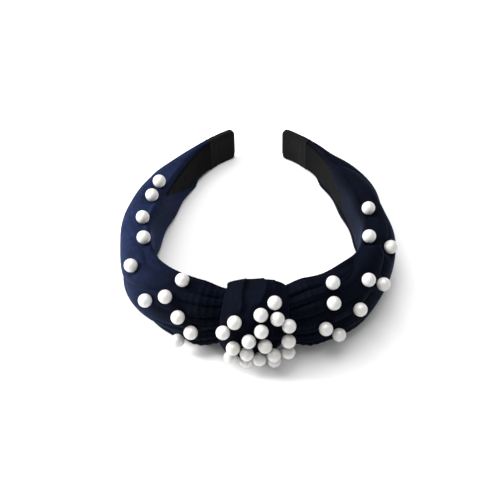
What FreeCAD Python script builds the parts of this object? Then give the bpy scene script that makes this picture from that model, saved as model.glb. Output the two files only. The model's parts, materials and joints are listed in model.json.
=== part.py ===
import FreeCAD, Part
import math
import os
import Sketcher

# A knotted velvet headband with pearl beads.  It is drawn in the hoop's own plane: the hoop's
# mid-line lies in z = 0, the knot is at -Y and the two tips are at +Y.  At the end every piece
# gets the same placement, which tips the hoop so that the knot and both tips rest on z = 0.
# A place on the band is given by its distance along the hoop from the middle of the crown,
# by how far out from the hoop's mid-line it lies, and by its height.

doc = FreeCAD.newDocument("knotted_headband")

# ---------------------------------------------------------------- driving dimensions

SIZES = (
    # hoop: one flat plastic strip, bent into tangent arcs
    ("front_radius", 83.0, "arc of the mid-line across the crown, under the knot"),
    ("front_sweep", 30.0, "degrees of that arc on each side of the middle"),
    ("side_radius", 47.5, "arc round each side of the head"),
    ("side_sweep", 70.0, "degrees"),
    ("arm_radius", 230.0, "nearly straight arc behind the ear"),
    ("arm_sweep", 17.0, "degrees"),
    ("tip_radius", 62.0, "arc that turns each tip inwards"),
    ("tip_sweep", 35.0, "degrees"),
    ("hoop_width", 21.0, "strip width"),
    ("hoop_thickness", 1.8, "strip thickness"),
    ("tip_corner", 3.0, "rounding of the strip's corners at the tips"),
    ("flex_angle", 17.0, "degrees along the front arc to the line where an arm flexes"),
    ("socket_gap", 0.25, "gap round the nose at that line"),
    ("joint_gap", 0.6, "gap there between the layers of the knot and of the arm"),
    ("joint_slant", 10.0, "degrees that each end face leans away, so that an arm can open"),
    # layers on the hoop
    ("glue_gap", 0.05, "film between layers that are stuck together"),
    ("lining_film", 0.15, "glue under the ribbon"),
    ("pad_film", 0.25, "glue under the padding"),
    ("velvet_back", 0.8, "velvet on the hoop's inner side, pile crushed"),
    ("velvet_wall", 1.5, "velvet on the outer side, with its pile"),
    ("lining_width", 21.0, "woven ribbon on the inner side"),
    ("lining_thickness", 0.5, "ribbon thickness"),
    ("pad_slack", 1.7, "room between padding and velvet, where the rivet heads lie"),
    ("pad_end", 40.0, "bare length of hoop between the padding's end and the tip"),
    ("edge_flat", 0.8, "flat part of the band's inner side, as a share of its height"),
    # padded wings: height is across the band, depth is out from the hoop's mid-line
    ("neck_height", 42.5, "where a wing leaves the knot"),
    ("neck_depth", 18.5, "its depth"),
    ("bulge_place", 44.0, "distance along the hoop to the fullest part of a wing"),
    ("bulge_height", 42.5, "its height"),
    ("bulge_depth", 18.5, "its depth"),
    ("side_place", 92.0, "distance to the side of the head"),
    ("side_height", 36.5, "velvet there"),
    ("side_depth", 15.5, "its depth"),
    ("rear_place", 140.0, "distance to the part behind the ear"),
    ("rear_height", 30.5, "velvet there"),
    ("rear_depth", 14.5, "its depth"),
    ("end_height", 23.5, "velvet where it meets the tip wrap"),
    ("end_depth", 3.4, "its depth"),
    # tips
    ("wrap_length", 20.0, "fabric wrap on each tip"),
    ("wrap_thickness", 1.0, "its thickness"),
    # knot
    ("core_height", 37.0, "gathered velvet under the knot"),
    ("core_depth", 15.0, "its depth"),
    ("knot_width", 33.0, "velvet loop that is wrapped round the middle"),
    ("knot_height", 48.4, "its height"),
    ("knot_depth", 23.5, "its depth"),
    ("knot_back", 2.4, "the loop's thickness on the inner side"),
    ("knot_pinch", 2.0, "how much the loop draws in towards its two edges"),
    ("loop_slack", 0.3, "room between the loop and what it is wrapped round"),
    ("rest_flat", 1.0, "how far the knot is pressed flat where it rests"),
    # pearl beads
    ("pearl_diameter", 8.0, "bead"),
    ("pearl_flat", 0.35, "depth of the small flat that sits on the velvet"),
    ("pin_diameter", 1.0, "rivet pin, pressed into the bead"),
    ("pin_reach", 4.0, "how far the pin goes into the bead"),
    ("pin_fit", 0.04, "gap round a pin"),
    ("head_diameter", 3.0, "rivet head under the velvet"),
    ("head_thickness", 0.3, "its thickness"),
    ("head_drop", 0.4, "from the velvet's underside to the head"),
    # sewing
    ("thread_diameter", 0.7, "doubled thread of the hand stitches"),
    ("stitch_length", 4.0, "length of one stitch"),
    ("stitch_pitch", 4.0, "from one stitch to the next"),
)

# Where the beads sit: (distance along the hoop in mm, degrees round the band from straight out).
LEFT_PEARLS = (
    (29, 0), (35, 17), (37, -29), (38, 74), (43, 38), (52, 19),
    (67, 44), (79, 97), (97, 96), (118, 94), (132, 91),
)
RIGHT_PEARLS = (
    (32, 3), (37, 35), (39, -16), (40, 65), (49, 11), (57, 42), (64, 19), (81, 40), (80, 95), (105, 92),
)
KNOT_PEARLS = (
    (10, 56), (3, 42), (10.5, 36), (15.5, 25), (3, 22), (4.5, 2), (-2.5, 9), (-3.5, -10), (-9.5, -3),
    (-4, -29), (2, -21), (8.5, -15), (15, -15), (15, 4), (-14, 17), (-9, 32), (-11, -22), (9, -35),
)

STITCH_COUNT = 7
SECTION_STEP = 12.0
CUT_REACH = 3.0
PROBE_REACH = 1.5
# Outline of a padded section as shares of its depth and half height, from inner side to front.
PADDED_OUTLINE = ((0.28, 1.0), (0.64, 0.87), (0.91, 0.53), (1.0, 0.0))

sheet = doc.addObject("Spreadsheet::Sheet", "sizes")
for row, (alias, value, meaning) in enumerate(SIZES, start=1):
    sheet.set(f"A{row}", meaning)
    sheet.set(f"B{row}", str(value))
    sheet.setAlias(f"B{row}", alias)
doc.recompute()


def size(alias):
    """The number in a named cell of the sheet."""
    return float(sheet.get(alias))


# ---------------------------------------------------------------- the hoop's mid-line

ARCS = ("front", "side", "arm", "tip")
UP = FreeCAD.Vector(0, 0, 1)
LEFT, RIGHT = -1, 1
SIDE_NAMES = {LEFT: "left", RIGHT: "right"}


def turned(bearing):
    """Unit vector in the hoop's plane, at an angle in radians from +X."""
    return FreeCAD.Vector(math.cos(bearing), math.sin(bearing), 0)


def hoop_arcs():
    """[(radius, centre, first bearing, first distance, last distance)] to the right-hand tip."""
    point, heading, reach, arcs = FreeCAD.Vector(0, 0, 0), 0.0, 0.0, []
    for name in ARCS:
        radius, sweep = size(name + "_radius"), math.radians(size(name + "_sweep"))
        centre = point - turned(heading - math.pi / 2) * radius
        arcs.append((radius, centre, heading - math.pi / 2, reach, reach + radius * sweep))
        heading, reach = heading + sweep, reach + radius * sweep
        point = centre + turned(heading - math.pi / 2) * radius
    middle = FreeCAD.Vector(0, point.y / 2, 0)
    return [(radius, centre - middle, *rest) for radius, centre, *rest in arcs]


HOOP_ARCS = hoop_arcs()
REACH = HOOP_ARCS[-1][4]
FLEX = size("front_radius") * math.radians(size("flex_angle"))
WRAP_START = REACH - size("wrap_length")
HALF_STRIP = size("hoop_thickness") / 2


def station(distance):
    """(point, direction to the tip, direction outwards); distances to the left are negative."""
    side = LEFT if distance < 0 else RIGHT
    for radius, centre, bearing, first, last in HOOP_ARCS:
        if abs(distance) <= last:
            break
    bearing += (abs(distance) - first) / radius
    outward = turned(bearing)
    point, along = centre + outward * radius, turned(bearing + math.pi / 2)
    for vector in (point, along, outward):
        vector.x *= side
    return point, along, outward


# ---------------------------------------------------------------- layers, counted outwards

VELVET_BACK = -(HALF_STRIP + size("glue_gap") + size("velvet_back"))
LINING_FRONT = VELVET_BACK - size("lining_film")
LINING_BACK = LINING_FRONT - size("lining_thickness")
LOOP_HOLE_BACK = LINING_BACK - size("loop_slack")
KNOT_BACK = LOOP_HOLE_BACK - size("knot_back")
STRIP_CLEAR = HALF_STRIP + size("glue_gap")
CAVITY_BACK = -HALF_STRIP / 2
PAD_BACK = STRIP_CLEAR + size("pad_film")


def eased(share):
    """Smooth step from 0 to 1."""
    return share * share * (3 - 2 * share)


def wing_size(distance):
    """(height, depth) of a wing at a distance along the hoop, on either side."""
    places = (
        (FLEX, size("neck_height"), size("neck_depth")),
        (size("bulge_place"), size("bulge_height"), size("bulge_depth")),
        (size("side_place"), size("side_height"), size("side_depth")),
        (size("rear_place"), size("rear_height"), size("rear_depth")),
        (WRAP_START, size("end_height"), size("end_depth")),
    )
    for (first, height, depth), (last, next_height, next_depth) in zip(places, places[1:]):
        if abs(distance) <= last:
            break
    share = min(1.0, max(0.0, (abs(distance) - first) / (last - first)))
    return height + (next_height - height) * share, depth + (next_depth - depth) * eased(share)


def core_size(distance):
    """(height, depth) of the gathered velvet under the knot."""
    return size("core_height"), size("core_depth")


def knot_size(distance):
    """(height, depth) of the knot's loop, fullest in the middle."""
    draw_in = size("knot_pinch") * (2 * distance / size("knot_width")) ** 2
    return size("knot_height") - 2 * draw_in, size("knot_depth") - draw_in


# ---------------------------------------------------------------- solids that follow the hoop

def section(distance, back, depth, height, slant=0.0, shift=0.0):
    """Closed wire across the band: a flat inner side and a rounded outer one."""
    point, along, outward = station(distance)
    lean = math.radians(slant)
    out = outward + along * math.tan(lean)
    origin = point + along * shift
    half, flat = height / 2, height / 2 * size("edge_flat")

    def at(share_out, level):
        return origin + out * (back + (depth - back) * share_out) + UP * level

    upper = [at(share_out, half * share_up) for share_out, share_up in PADDED_OUTLINE]
    lower = [at(share_out, -half * share_up) for share_out, share_up in reversed(PADDED_OUTLINE[:-1])]
    front = Part.BSplineCurve()
    front.interpolate([at(0, flat)] + upper + lower + [at(0, -flat)])
    return Part.Wire([front.toShape(), Part.makeLine(at(0, -flat), at(0, flat))])


def stations_between(first, last):
    """Evenly spaced distances, both ends included."""
    count = max(2, math.ceil(abs(last - first) / SECTION_STEP))
    return [first + (last - first) * step / count for step in range(count + 1)]


def band(first, last, size_at, back, inset=0.0, slants=(0.0, 0.0), shifts=(0.0, 0.0)):
    """Solid lofted along the hoop; inset shrinks its height and its front."""
    distances = stations_between(first, last)
    wires = []
    for place in distances:
        height, depth = size_at(place)
        slant, shift = 0.0, 0.0
        if place == distances[0]:
            slant, shift = slants[0], shifts[0]
        if place == distances[-1]:
            slant, shift = slants[1], shifts[1]
        wires.append(section(place, back, depth - inset, height - 2 * inset, slant, shift))
    return Part.makeLoft(wires, True, False)


def strip_solid(first, last, back, front, width):
    """Plain strip that follows the hoop, used to cut room for the real strips."""
    def edge_at(distance):
        point, along, outward = station(distance)
        corners = [point + outward * out + UP * up * width / 2
                   for out, up in ((back, -1), (front, -1), (front, 1), (back, 1))]
        return Part.makePolygon(corners + corners[:1])

    breaks = {first, last}
    for side in (LEFT, RIGHT):
        ends = [side * arc[3] for arc in HOOP_ARCS]
        breaks.update(end for end in ends if min(first, last) < end < max(first, last))
    places = sorted(breaks)
    pieces = []
    for start, stop in zip(places, places[1:]):
        line = [station(start)[0], station((start + stop) / 2)[0], station(stop)[0]]
        spine = Part.Wire(Part.Arc(*line).toShape())
        pieces.append(spine.makePipeShell([edge_at(start)], True, False))
    return pieces[0].fuse(pieces[1:]).removeSplitter() if len(pieces) > 1 else pieces[0]


def feature(name, shape):
    """Document object for a piece that is lofted or cut by hand."""
    thing = doc.addObject("Part::Feature", name)
    thing.Label = name
    thing.Shape = shape
    return thing


# ---------------------------------------------------------------- strips drawn in sketches

def new_body(name):
    body = doc.addObject("PartDesign::Body", name)
    body.Label = name
    return body


def sketch_on(body, role, name):
    """Sketch on one of the body's own origin planes."""
    sketch = body.newObject("Sketcher::SketchObject", name)
    plane = [item for item in body.Origin.OriginFeatures if item.Role == role][0]
    sketch.AttachmentSupport = [(plane, "")]
    sketch.MapMode = "FlatFace"
    return sketch


def bind(sketch, constraint, expression):
    """Adds a constraint and ties its value to the sheet."""
    number = sketch.addConstraint(constraint)
    sketch.setExpression(f"Constraints[{number}]", expression)


def spine_sketch(body, name, first, last):
    """Tangent arcs along the hoop's mid-line between two distances on one side."""
    sketch = sketch_on(body, "XY_Plane", name + "_spine")
    side = LEFT if first < 0 else RIGHT
    near, far = (1, 2) if side == RIGHT else (2, 1)
    previous = None
    for arc_name, (radius, centre, bearing, start, stop) in zip(ARCS, HOOP_ARCS):
        begin, end = max(abs(first), start), min(abs(last), stop)
        if arc_name == ARCS[-1]:
            end = abs(last)
        if end <= begin:
            continue
        angles = [bearing + (begin - start) / radius, bearing + (end - start) / radius]
        if side == LEFT:
            angles = [math.pi - angle for angle in reversed(angles)]
        middle = FreeCAD.Vector(centre.x * side, centre.y, 0)
        arc = sketch.addGeometry(Part.ArcOfCircle(Part.Circle(middle, UP, radius), *angles), False)
        if previous is None:
            sketch.addConstraint(Sketcher.Constraint("DistanceX", arc, 3, middle.x))
            sketch.addConstraint(Sketcher.Constraint("DistanceY", arc, 3, middle.y))
            sketch.addConstraint(Sketcher.Constraint("DistanceX", arc, near, station(side * begin)[0].x))
        else:
            sketch.addConstraint(Sketcher.Constraint("Tangent", previous, far, arc, near))
        bind(sketch, Sketcher.Constraint("Radius", arc, radius), f"sizes.{arc_name}_radius")
        sweep = Sketcher.Constraint("Angle", arc, angles[1] - angles[0])
        if (begin, end) == (start, stop):
            bind(sketch, sweep, f"sizes.{arc_name}_sweep")
        else:
            sketch.addConstraint(sweep)
        previous = arc
    return sketch


def across_sketch(body, name, distance, back, front, width_rule):
    """Rectangle across the band at one distance, its width tied to the sheet."""
    sketch = sketch_on(body, "YZ_Plane", name + "_across")
    point, along, outward = station(distance)
    heading = math.degrees(math.atan2(outward.x, -outward.y))
    offset = FreeCAD.Vector(point.y, 0, point.x)
    sketch.AttachmentOffset = FreeCAD.Placement(offset, FreeCAD.Rotation(FreeCAD.Vector(0, 1, 0), heading))
    corners = [FreeCAD.Vector(-front, -1, 0), FreeCAD.Vector(-back, -1, 0),
               FreeCAD.Vector(-back, 1, 0), FreeCAD.Vector(-front, 1, 0)]
    for corner, following in zip(corners, corners[1:] + corners[:1]):
        sketch.addGeometry(Part.LineSegment(corner, following), False)
    for line in range(4):
        sketch.addConstraint(Sketcher.Constraint("Coincident", line, 2, (line + 1) % 4, 1))
    for line in (0, 2):
        sketch.addConstraint(Sketcher.Constraint("Horizontal", line))
    sketch.addConstraint(Sketcher.Constraint("Vertical", 3))
    sketch.addConstraint(Sketcher.Constraint("Symmetric", 1, 1, 1, 2, -1))
    sketch.addConstraint(Sketcher.Constraint("DistanceX", 1, 1, -back))
    sketch.addConstraint(Sketcher.Constraint("DistanceX", 0, 1, -front))
    bind(sketch, Sketcher.Constraint("DistanceY", 1, 1, 1, 2, 2.0), width_rule)
    return sketch


def strip_pipe(body, kind, name, first, last, back, front, width_rule):
    """Adds (or takes away) a strip of one rectangular section that follows the hoop."""
    spine = spine_sketch(body, name, first, last)
    across = across_sketch(body, name, first, back, front, width_rule)
    pipe = body.newObject("PartDesign::" + kind, name)
    pipe.Profile = across
    pipe.Spine = (spine, [])
    doc.recompute()
    return pipe


def strip_body(name, first, last, back, front, width_rule):
    """Body made of one such strip."""
    body = new_body(name)
    strip_pipe(body, "AdditivePipe", name + "_strip", first, last, back, front, width_rule)
    return body


def round_at_flex_lines(body, kind, name, sides, radius_rule, length_rule):
    """Round bar (or round hole) through the body on each flex line."""
    sketch = sketch_on(body, "XY_Plane", name + "_round")
    for side in sides:
        point = station(side * FLEX)[0]
        ring = sketch.addGeometry(Part.Circle(point, UP, HALF_STRIP), False)
        sketch.addConstraint(Sketcher.Constraint("DistanceX", ring, 3, point.x))
        sketch.addConstraint(Sketcher.Constraint("DistanceY", ring, 3, point.y))
        bind(sketch, Sketcher.Constraint("Radius", ring, HALF_STRIP), radius_rule)
    round_part = body.newObject("PartDesign::" + kind, name)
    round_part.Profile = sketch
    round_part.Midplane = True
    round_part.setExpression("Length", length_rule)
    doc.recompute()
    return round_part


def round_tip_corners(body, distance, radius_rule):
    """Rounds the corners at the tip end, seen along the strip's thickness."""
    point, along, outward = station(distance)
    names = []
    for number, edge in enumerate(body.Shape.Edges, start=1):
        ends = [vertex.Point - point for vertex in edge.Vertexes]
        at_end = all(abs(end.dot(along)) < size("glue_gap") for end in ends)
        if at_end and len(ends) == 2 and abs(ends[0].z - ends[1].z) < size("glue_gap"):
            names.append(f"Edge{number}")
    strip = body.Tip
    fillet = body.newObject("PartDesign::Fillet", body.Name + "_corners")
    fillet.Base = (strip, names)
    fillet.setExpression("Radius", radius_rule)
    doc.recompute()
    print(body.Name, "corners rounded:", len(names))


def middle_body(name, reach, back, front, width_rule):
    """The same, but running both ways from the middle of the crown."""
    body = new_body(name)
    radius, centre = HOOP_ARCS[0][:2]
    sketch = sketch_on(body, "XY_Plane", name + "_outline")
    half_angle = reach / radius
    low, high = -math.pi / 2 - half_angle, -math.pi / 2 + half_angle
    arcs = []
    for offset in (back, front):
        circle = Part.Circle(centre, UP, radius + offset)
        arcs.append(sketch.addGeometry(Part.ArcOfCircle(circle, low, high), False))
    ends = []
    for angle in (low, high):
        inner, outer = [centre + turned(angle) * (radius + offset) for offset in (back, front)]
        ends.append(sketch.addGeometry(Part.LineSegment(inner, outer), False))
    for line, corner in zip(ends, (1, 2)):
        sketch.addConstraint(Sketcher.Constraint("Coincident", line, 1, arcs[0], corner))
        sketch.addConstraint(Sketcher.Constraint("Coincident", line, 2, arcs[1], corner))
    sketch.addConstraint(Sketcher.Constraint("Coincident", arcs[0], 3, arcs[1], 3))
    sketch.addConstraint(Sketcher.Constraint("PointOnObject", arcs[0], 3, -2))
    sketch.addConstraint(Sketcher.Constraint("DistanceY", arcs[0], 3, centre.y))
    sketch.addConstraint(Sketcher.Constraint("Symmetric", arcs[0], 1, arcs[0], 2, -2))
    bind(sketch, Sketcher.Constraint("Radius", arcs[0], radius + back), f"sizes.front_radius + {back}")
    bind(sketch, Sketcher.Constraint("Radius", arcs[1], radius + front), f"sizes.front_radius + {front}")
    sketch.addConstraint(Sketcher.Constraint("Symmetric", arcs[1], 1, arcs[1], 2, -2))
    for arc in arcs:
        sketch.addConstraint(Sketcher.Constraint("Angle", arc, 2 * half_angle))
    pad = body.newObject("PartDesign::Pad", name + "_strip")
    pad.Profile = sketch
    pad.Midplane = True
    pad.setExpression("Length", width_rule)
    doc.recompute()
    return body


# ---------------------------------------------------------------- beads and their rivets

def seat(outer, size_at, back, distance, turn):
    """(point, normal) on a padded surface, some degrees round the band from straight out."""
    height, depth = size_at(distance)
    point, along, outward = station(distance)
    core = back + (depth - back) * PADDED_OUTLINE[0][0]
    swing = math.radians(turn)
    reach = outward * (depth - core) * math.cos(swing) + UP * height / 2 * math.sin(swing)
    probe = point + outward * core + reach * PROBE_REACH
    touch = outer.distToShape(Part.Vertex(probe))[1][0][0]
    normal = probe - touch
    normal.normalize()
    return touch, normal


def bead(touch, normal):
    """Ball with a small flat and a blind hole, sitting on the velvet."""
    radius = size("pearl_diameter") / 2
    to_flat = radius - size("pearl_flat")
    base = touch + normal * size("glue_gap")
    cut_angle = -math.degrees(math.asin(to_flat / radius))
    ball = Part.makeSphere(radius, base + normal * to_flat, normal, cut_angle, 90, 360)
    hole_radius = size("pin_diameter") / 2 + size("pin_fit")
    return ball.cut(Part.makeCylinder(hole_radius, size("pin_reach") + size("pin_fit"), base, normal))


def rivet(touch, normal, room=0.0):
    """Flat head under the velvet and a pin that goes up into the bead; room adds to it all round."""
    under, thickness = size("velvet_wall") + size("head_drop"), size("head_thickness")
    foot = touch - normal * (under + thickness + room)
    head = Part.makeCylinder(size("head_diameter") / 2 + room, thickness + 2 * room, foot, normal)
    length = under + thickness + size("glue_gap") + size("pin_reach") + room
    return head.fuse(Part.makeCylinder(size("pin_diameter") / 2 + room, length, foot, normal))


def beads_on(name, outer, skin, size_at, back, places):
    """Adds the beads and rivets of one padded piece; returns its skin with room for the rivets."""
    if not places:
        return skin
    seats = [seat(outer, size_at, back, distance, turn) for distance, turn in places]
    feature(name + "_pearls", Part.makeCompound([bead(*place) for place in seats]))
    feature(name + "_rivets", Part.makeCompound([rivet(*place) for place in seats]))
    return skin.cut([rivet(*place, size("pin_fit")) for place in seats])


# ---------------------------------------------------------------- the pieces of one arm

def arm_hoop(side):
    name = SIDE_NAMES[side] + "_hoop"
    body = strip_body(name, side * FLEX, side * REACH, -HALF_STRIP, HALF_STRIP, "sizes.hoop_width")
    round_at_flex_lines(body, "Pad", name + "_nose", [side], "sizes.hoop_thickness / 2", "sizes.hoop_width")
    round_tip_corners(body, side * REACH, "sizes.tip_corner")


def arm_lining(side):
    name = SIDE_NAMES[side] + "_lining"
    first, last = FLEX + size("joint_gap"), WRAP_START - size("glue_gap")
    strip_body(name, side * first, side * last, LINING_BACK, LINING_FRONT, "sizes.lining_width")


def arm_tip_wrap(side):
    name = SIDE_NAMES[side] + "_tip_wrap"
    wall, gap = size("wrap_thickness"), size("glue_gap")
    end = REACH + gap + wall
    outer = STRIP_CLEAR + wall
    body = strip_body(name, side * WRAP_START, side * end, -outer, outer,
                      "sizes.hoop_width + 2 * sizes.glue_gap + 2 * sizes.wrap_thickness")
    round_tip_corners(body, side * end, "sizes.tip_corner + sizes.wrap_thickness")
    strip_pipe(body, "SubtractivePipe", name + "_inside",
               side * (WRAP_START - CUT_REACH), side * (REACH + gap),
               -STRIP_CLEAR, STRIP_CLEAR, "sizes.hoop_width + 2 * sizes.glue_gap")


def hoop_room(first, last):
    """Room for the hoop inside a velvet sleeve."""
    return strip_solid(first, last, -STRIP_CLEAR, STRIP_CLEAR, size("hoop_width") + 2 * size("glue_gap"))


def arm_cushion(side, places):
    """Foam padding and the velvet sleeve round it, with the beads that sit on them."""
    name = SIDE_NAMES[side]
    gap, slant, wall = size("joint_gap"), size("joint_slant"), size("velvet_wall")
    first, last = side * FLEX, side * (WRAP_START - size("glue_gap"))
    outer = band(first, last, wing_size, VELVET_BACK, 0, (slant, 0), (gap, 0))
    inside = band(first, last, wing_size, CAVITY_BACK, wall, (slant, 0), (gap - CUT_REACH, CUT_REACH))
    skin = outer.cut([inside, hoop_room(side * (FLEX - CUT_REACH), side * (WRAP_START + CUT_REACH))])
    inset, pad_stop = wall + size("pad_slack"), side * (REACH - size("pad_end"))
    pad = band(first, pad_stop, wing_size, PAD_BACK, inset, (slant, 0), (gap, 0))
    feature(name + "_velvet", beads_on(name, outer, skin, wing_size, VELVET_BACK, places))
    feature(name + "_padding", pad)


# ---------------------------------------------------------------- the pieces of the knot

def centre_hoop():
    name = "centre_hoop"
    body = middle_body(name, FLEX - HALF_STRIP / 2, -HALF_STRIP, HALF_STRIP, "sizes.hoop_width")
    round_at_flex_lines(body, "Pocket", name + "_sockets", [LEFT, RIGHT],
                        "sizes.hoop_thickness / 2 + sizes.socket_gap", "2 * sizes.hoop_width")


def centre_lining():
    middle_body("centre_lining", FLEX - size("joint_gap"), LINING_BACK, LINING_FRONT, "sizes.lining_width")


def centre_velvet():
    gap, slant = size("joint_gap"), size("joint_slant")
    leans = (-slant, -slant)
    outer = band(-FLEX, FLEX, core_size, VELVET_BACK, 0, leans, (-gap, -gap))
    inside = band(-FLEX, FLEX, core_size, CAVITY_BACK, size("velvet_wall"), leans, (CUT_REACH, CUT_REACH))
    feature("centre_velvet", outer.cut([inside, hoop_room(-FLEX - CUT_REACH, FLEX + CUT_REACH)]))
    inset = size("velvet_wall") + size("pad_slack")
    feature("centre_padding", band(-FLEX, FLEX, core_size, PAD_BACK, inset, leans, (-gap, -gap)))


def loop_hole(extra):
    """What the loop is wrapped round, with some room."""
    def hole_size(distance):
        height, depth = core_size(distance)
        return height + 2 * extra, depth + extra
    reach = size("knot_width") / 2 + CUT_REACH
    return band(-reach, reach, hole_size, LINING_BACK - extra)


def knot_pieces(below_rest):
    half, wall = size("knot_width") / 2, size("velvet_wall")
    outer = band(-half, half, knot_size, KNOT_BACK)
    inside = band(wall - half, half - wall, knot_size, LOOP_HOLE_BACK, wall)
    skin = outer.cut([inside, loop_hole(size("loop_slack")), below_rest])
    feature("knot_velvet", beads_on("knot", outer, skin, knot_size, KNOT_BACK, KNOT_PEARLS))
    inset = wall + size("pad_slack")
    pad = band(inset - half, half - inset, knot_size, VELVET_BACK, inset)
    feature("knot_padding", pad.cut(loop_hole(size("loop_slack") + size("glue_gap"))))


def loop_stitches():
    """Short doubled threads that close the loop on the inner side."""
    radius, length = size("thread_diameter") / 2, size("stitch_length")
    point, along, outward = station(0)
    out = KNOT_BACK - size("glue_gap") - radius
    threads = []
    for number in range(STITCH_COUNT):
        level = (number - (STITCH_COUNT - 1) / 2) * size("stitch_pitch")
        start = point + outward * out - along * length / 2 + UP * level
        thread = Part.makeCylinder(radius, length, start, along)
        ends = [Part.makeSphere(radius, start), Part.makeSphere(radius, start + along * length)]
        threads.append(thread.fuse(ends).removeSplitter())
    feature("loop_stitches", Part.makeCompound(threads))


# ---------------------------------------------------------------- how it rests, and the files

def rest_placement():
    """Tips the hoop so that the knot's underside and both tips come down to z = 0."""
    knot_out = KNOT_BACK + (size("knot_depth") - KNOT_BACK) * PADDED_OUTLINE[0][0]
    knot_y = station(0)[0].y - knot_out
    knot_z = size("rest_flat") - size("knot_height") / 2
    tip_y = station(REACH - size("tip_corner") / 3)[0].y
    tip_z = -size("hoop_width") / 2 - size("glue_gap") - size("wrap_thickness")
    tilt = math.atan2(tip_z - knot_z, tip_y - knot_y)
    lean = FreeCAD.Rotation(FreeCAD.Vector(1, 0, 0), -math.degrees(tilt))
    lowest = lean.multVec(FreeCAD.Vector(0, tip_y, tip_z)).z
    return FreeCAD.Placement(FreeCAD.Vector(0, 0, -lowest), lean)


def space_below(placement):
    """Block that fills everything under z = 0, in the hoop's own frame."""
    reach = 4 * HOOP_ARCS[0][0]
    corner = FreeCAD.Vector(-reach / 2, -reach / 2, -reach)
    block = Part.makeBox(reach, reach, reach, corner)
    block.Placement = placement.inverse()
    return block


def build_all():
    placement = rest_placement()
    below_rest = space_below(placement)
    centre_hoop()
    centre_lining()
    centre_velvet()
    knot_pieces(below_rest)
    loop_stitches()
    for side, places in ((LEFT, LEFT_PEARLS), (RIGHT, RIGHT_PEARLS)):
        arm_hoop(side)
        arm_lining(side)
        arm_cushion(side, [(side * distance, turn) for distance, turn in places])
        arm_tip_wrap(side)
    pieces = [thing for thing in doc.Objects if thing.TypeId in ("PartDesign::Body", "Part::Feature")]
    for piece in pieces:
        piece.Placement = placement
    doc.recompute()
    return pieces


def check(pieces):
    """Stops on any feature that failed and on any shape that is empty or broken."""
    for thing in doc.Objects:
        if {"Invalid", "Error"} & set(thing.State):
            raise RuntimeError(f"{thing.Label} did not rebuild: {thing.State}")
    for piece in pieces:
        if piece.Shape.isNull() or not piece.Shape.isValid():
            raise RuntimeError(f"{piece.Label} is not a valid solid")


def write(pieces):
    os.makedirs("parts", exist_ok=True)
    for piece in pieces:
        piece.Shape.exportStep(f"parts/{piece.Label}.step")
        low, high = piece.Shape.BoundBox.ZMin, piece.Shape.BoundBox.ZMax
        print(f"{piece.Label:18s} solids {len(piece.Shape.Solids):3d}  volume {piece.Shape.Volume:9.1f}"
              f"  z {low:6.1f} to {high:5.1f}")


solids = build_all()
check(solids)
write(solids)
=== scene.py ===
# %% [markdown]
# # A knotted velvet headband with pearl beads
# The CAD model gives the exact frame: where each hard piece is and how the arms move.  This file
# dresses that frame.  Every soft piece is a closed skin laid out along the hoop, sculpted with the
# folds that gathered velvet makes, and given a cloth finish.

import json
import math

import bmesh
import bpy
import numpy as np
from mathutils import Matrix, Vector


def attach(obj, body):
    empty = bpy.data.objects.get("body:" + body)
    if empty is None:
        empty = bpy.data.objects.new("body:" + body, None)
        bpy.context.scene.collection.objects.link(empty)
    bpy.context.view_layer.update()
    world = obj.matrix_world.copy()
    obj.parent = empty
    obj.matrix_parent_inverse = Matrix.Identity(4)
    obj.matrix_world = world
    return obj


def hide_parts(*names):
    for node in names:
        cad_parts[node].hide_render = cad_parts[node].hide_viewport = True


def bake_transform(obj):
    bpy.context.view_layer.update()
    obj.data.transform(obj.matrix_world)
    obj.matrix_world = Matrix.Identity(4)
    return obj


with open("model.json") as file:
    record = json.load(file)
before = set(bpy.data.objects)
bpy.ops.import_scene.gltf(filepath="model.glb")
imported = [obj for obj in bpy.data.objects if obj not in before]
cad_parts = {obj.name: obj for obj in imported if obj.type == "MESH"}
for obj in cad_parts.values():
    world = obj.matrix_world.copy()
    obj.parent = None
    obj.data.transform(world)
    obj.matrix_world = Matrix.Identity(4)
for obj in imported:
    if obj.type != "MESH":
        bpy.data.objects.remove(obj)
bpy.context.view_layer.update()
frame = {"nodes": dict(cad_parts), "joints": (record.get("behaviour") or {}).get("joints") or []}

# %% [markdown]
# ## The path of the hoop
# A headband is easiest to shape in its own coordinates: the distance along the hoop from the
# middle of the crown, how far out from the strip's mid-line, and the height across the band.  The
# hoop is a chain of tangent arcs, so a place on it is found arc by arc.  At the end every point is
# tipped a few degrees, because the band rests on its knot and its two tips.

# %% Distances along the hoop, in millimetres
ARCS = ((83.0, 30.0), (47.5, 70.0), (230.0, 17.0), (62.0, 35.0))
HALF_STRIP = 0.9
TIP_WRAP = 20.0
FLEX = ARCS[0][0] * math.radians(17.0)
LEFT, RIGHT = -1, 1
SIDES = {LEFT: "left", RIGHT: "right"}


def lay_arcs():
    """Rows of (radius, centre x, centre y, first bearing, first distance, last distance)."""
    x, y, heading, reach, rows = 0.0, 0.0, 0.0, 0.0, []
    for radius, sweep in ARCS:
        bearing = heading - math.pi / 2
        middle_x, middle_y = x - radius * math.cos(bearing), y - radius * math.sin(bearing)
        length = radius * math.radians(sweep)
        rows.append([radius, middle_x, middle_y, bearing, reach, reach + length])
        heading, reach = heading + math.radians(sweep), reach + length
        x = middle_x + radius * math.sin(heading)
        y = middle_y - radius * math.cos(heading)
    for row in rows:
        row[2] -= y / 2
    return rows


ARC_ROWS = lay_arcs()
REACH = ARC_ROWS[-1][5]
WRAP_START = REACH - TIP_WRAP


def joint_tilt():
    """How far the hoop's plane is tipped, read from the axis that the arms flex about."""
    axis = frame["joints"][0]["axis"]
    return math.atan2(abs(axis[1]), abs(axis[2]))


TILT = joint_tilt()
FLEX_POINTS = {joint["name"].split("_")[0]: Vector(joint["pos_m"]) for joint in frame["joints"]}


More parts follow.
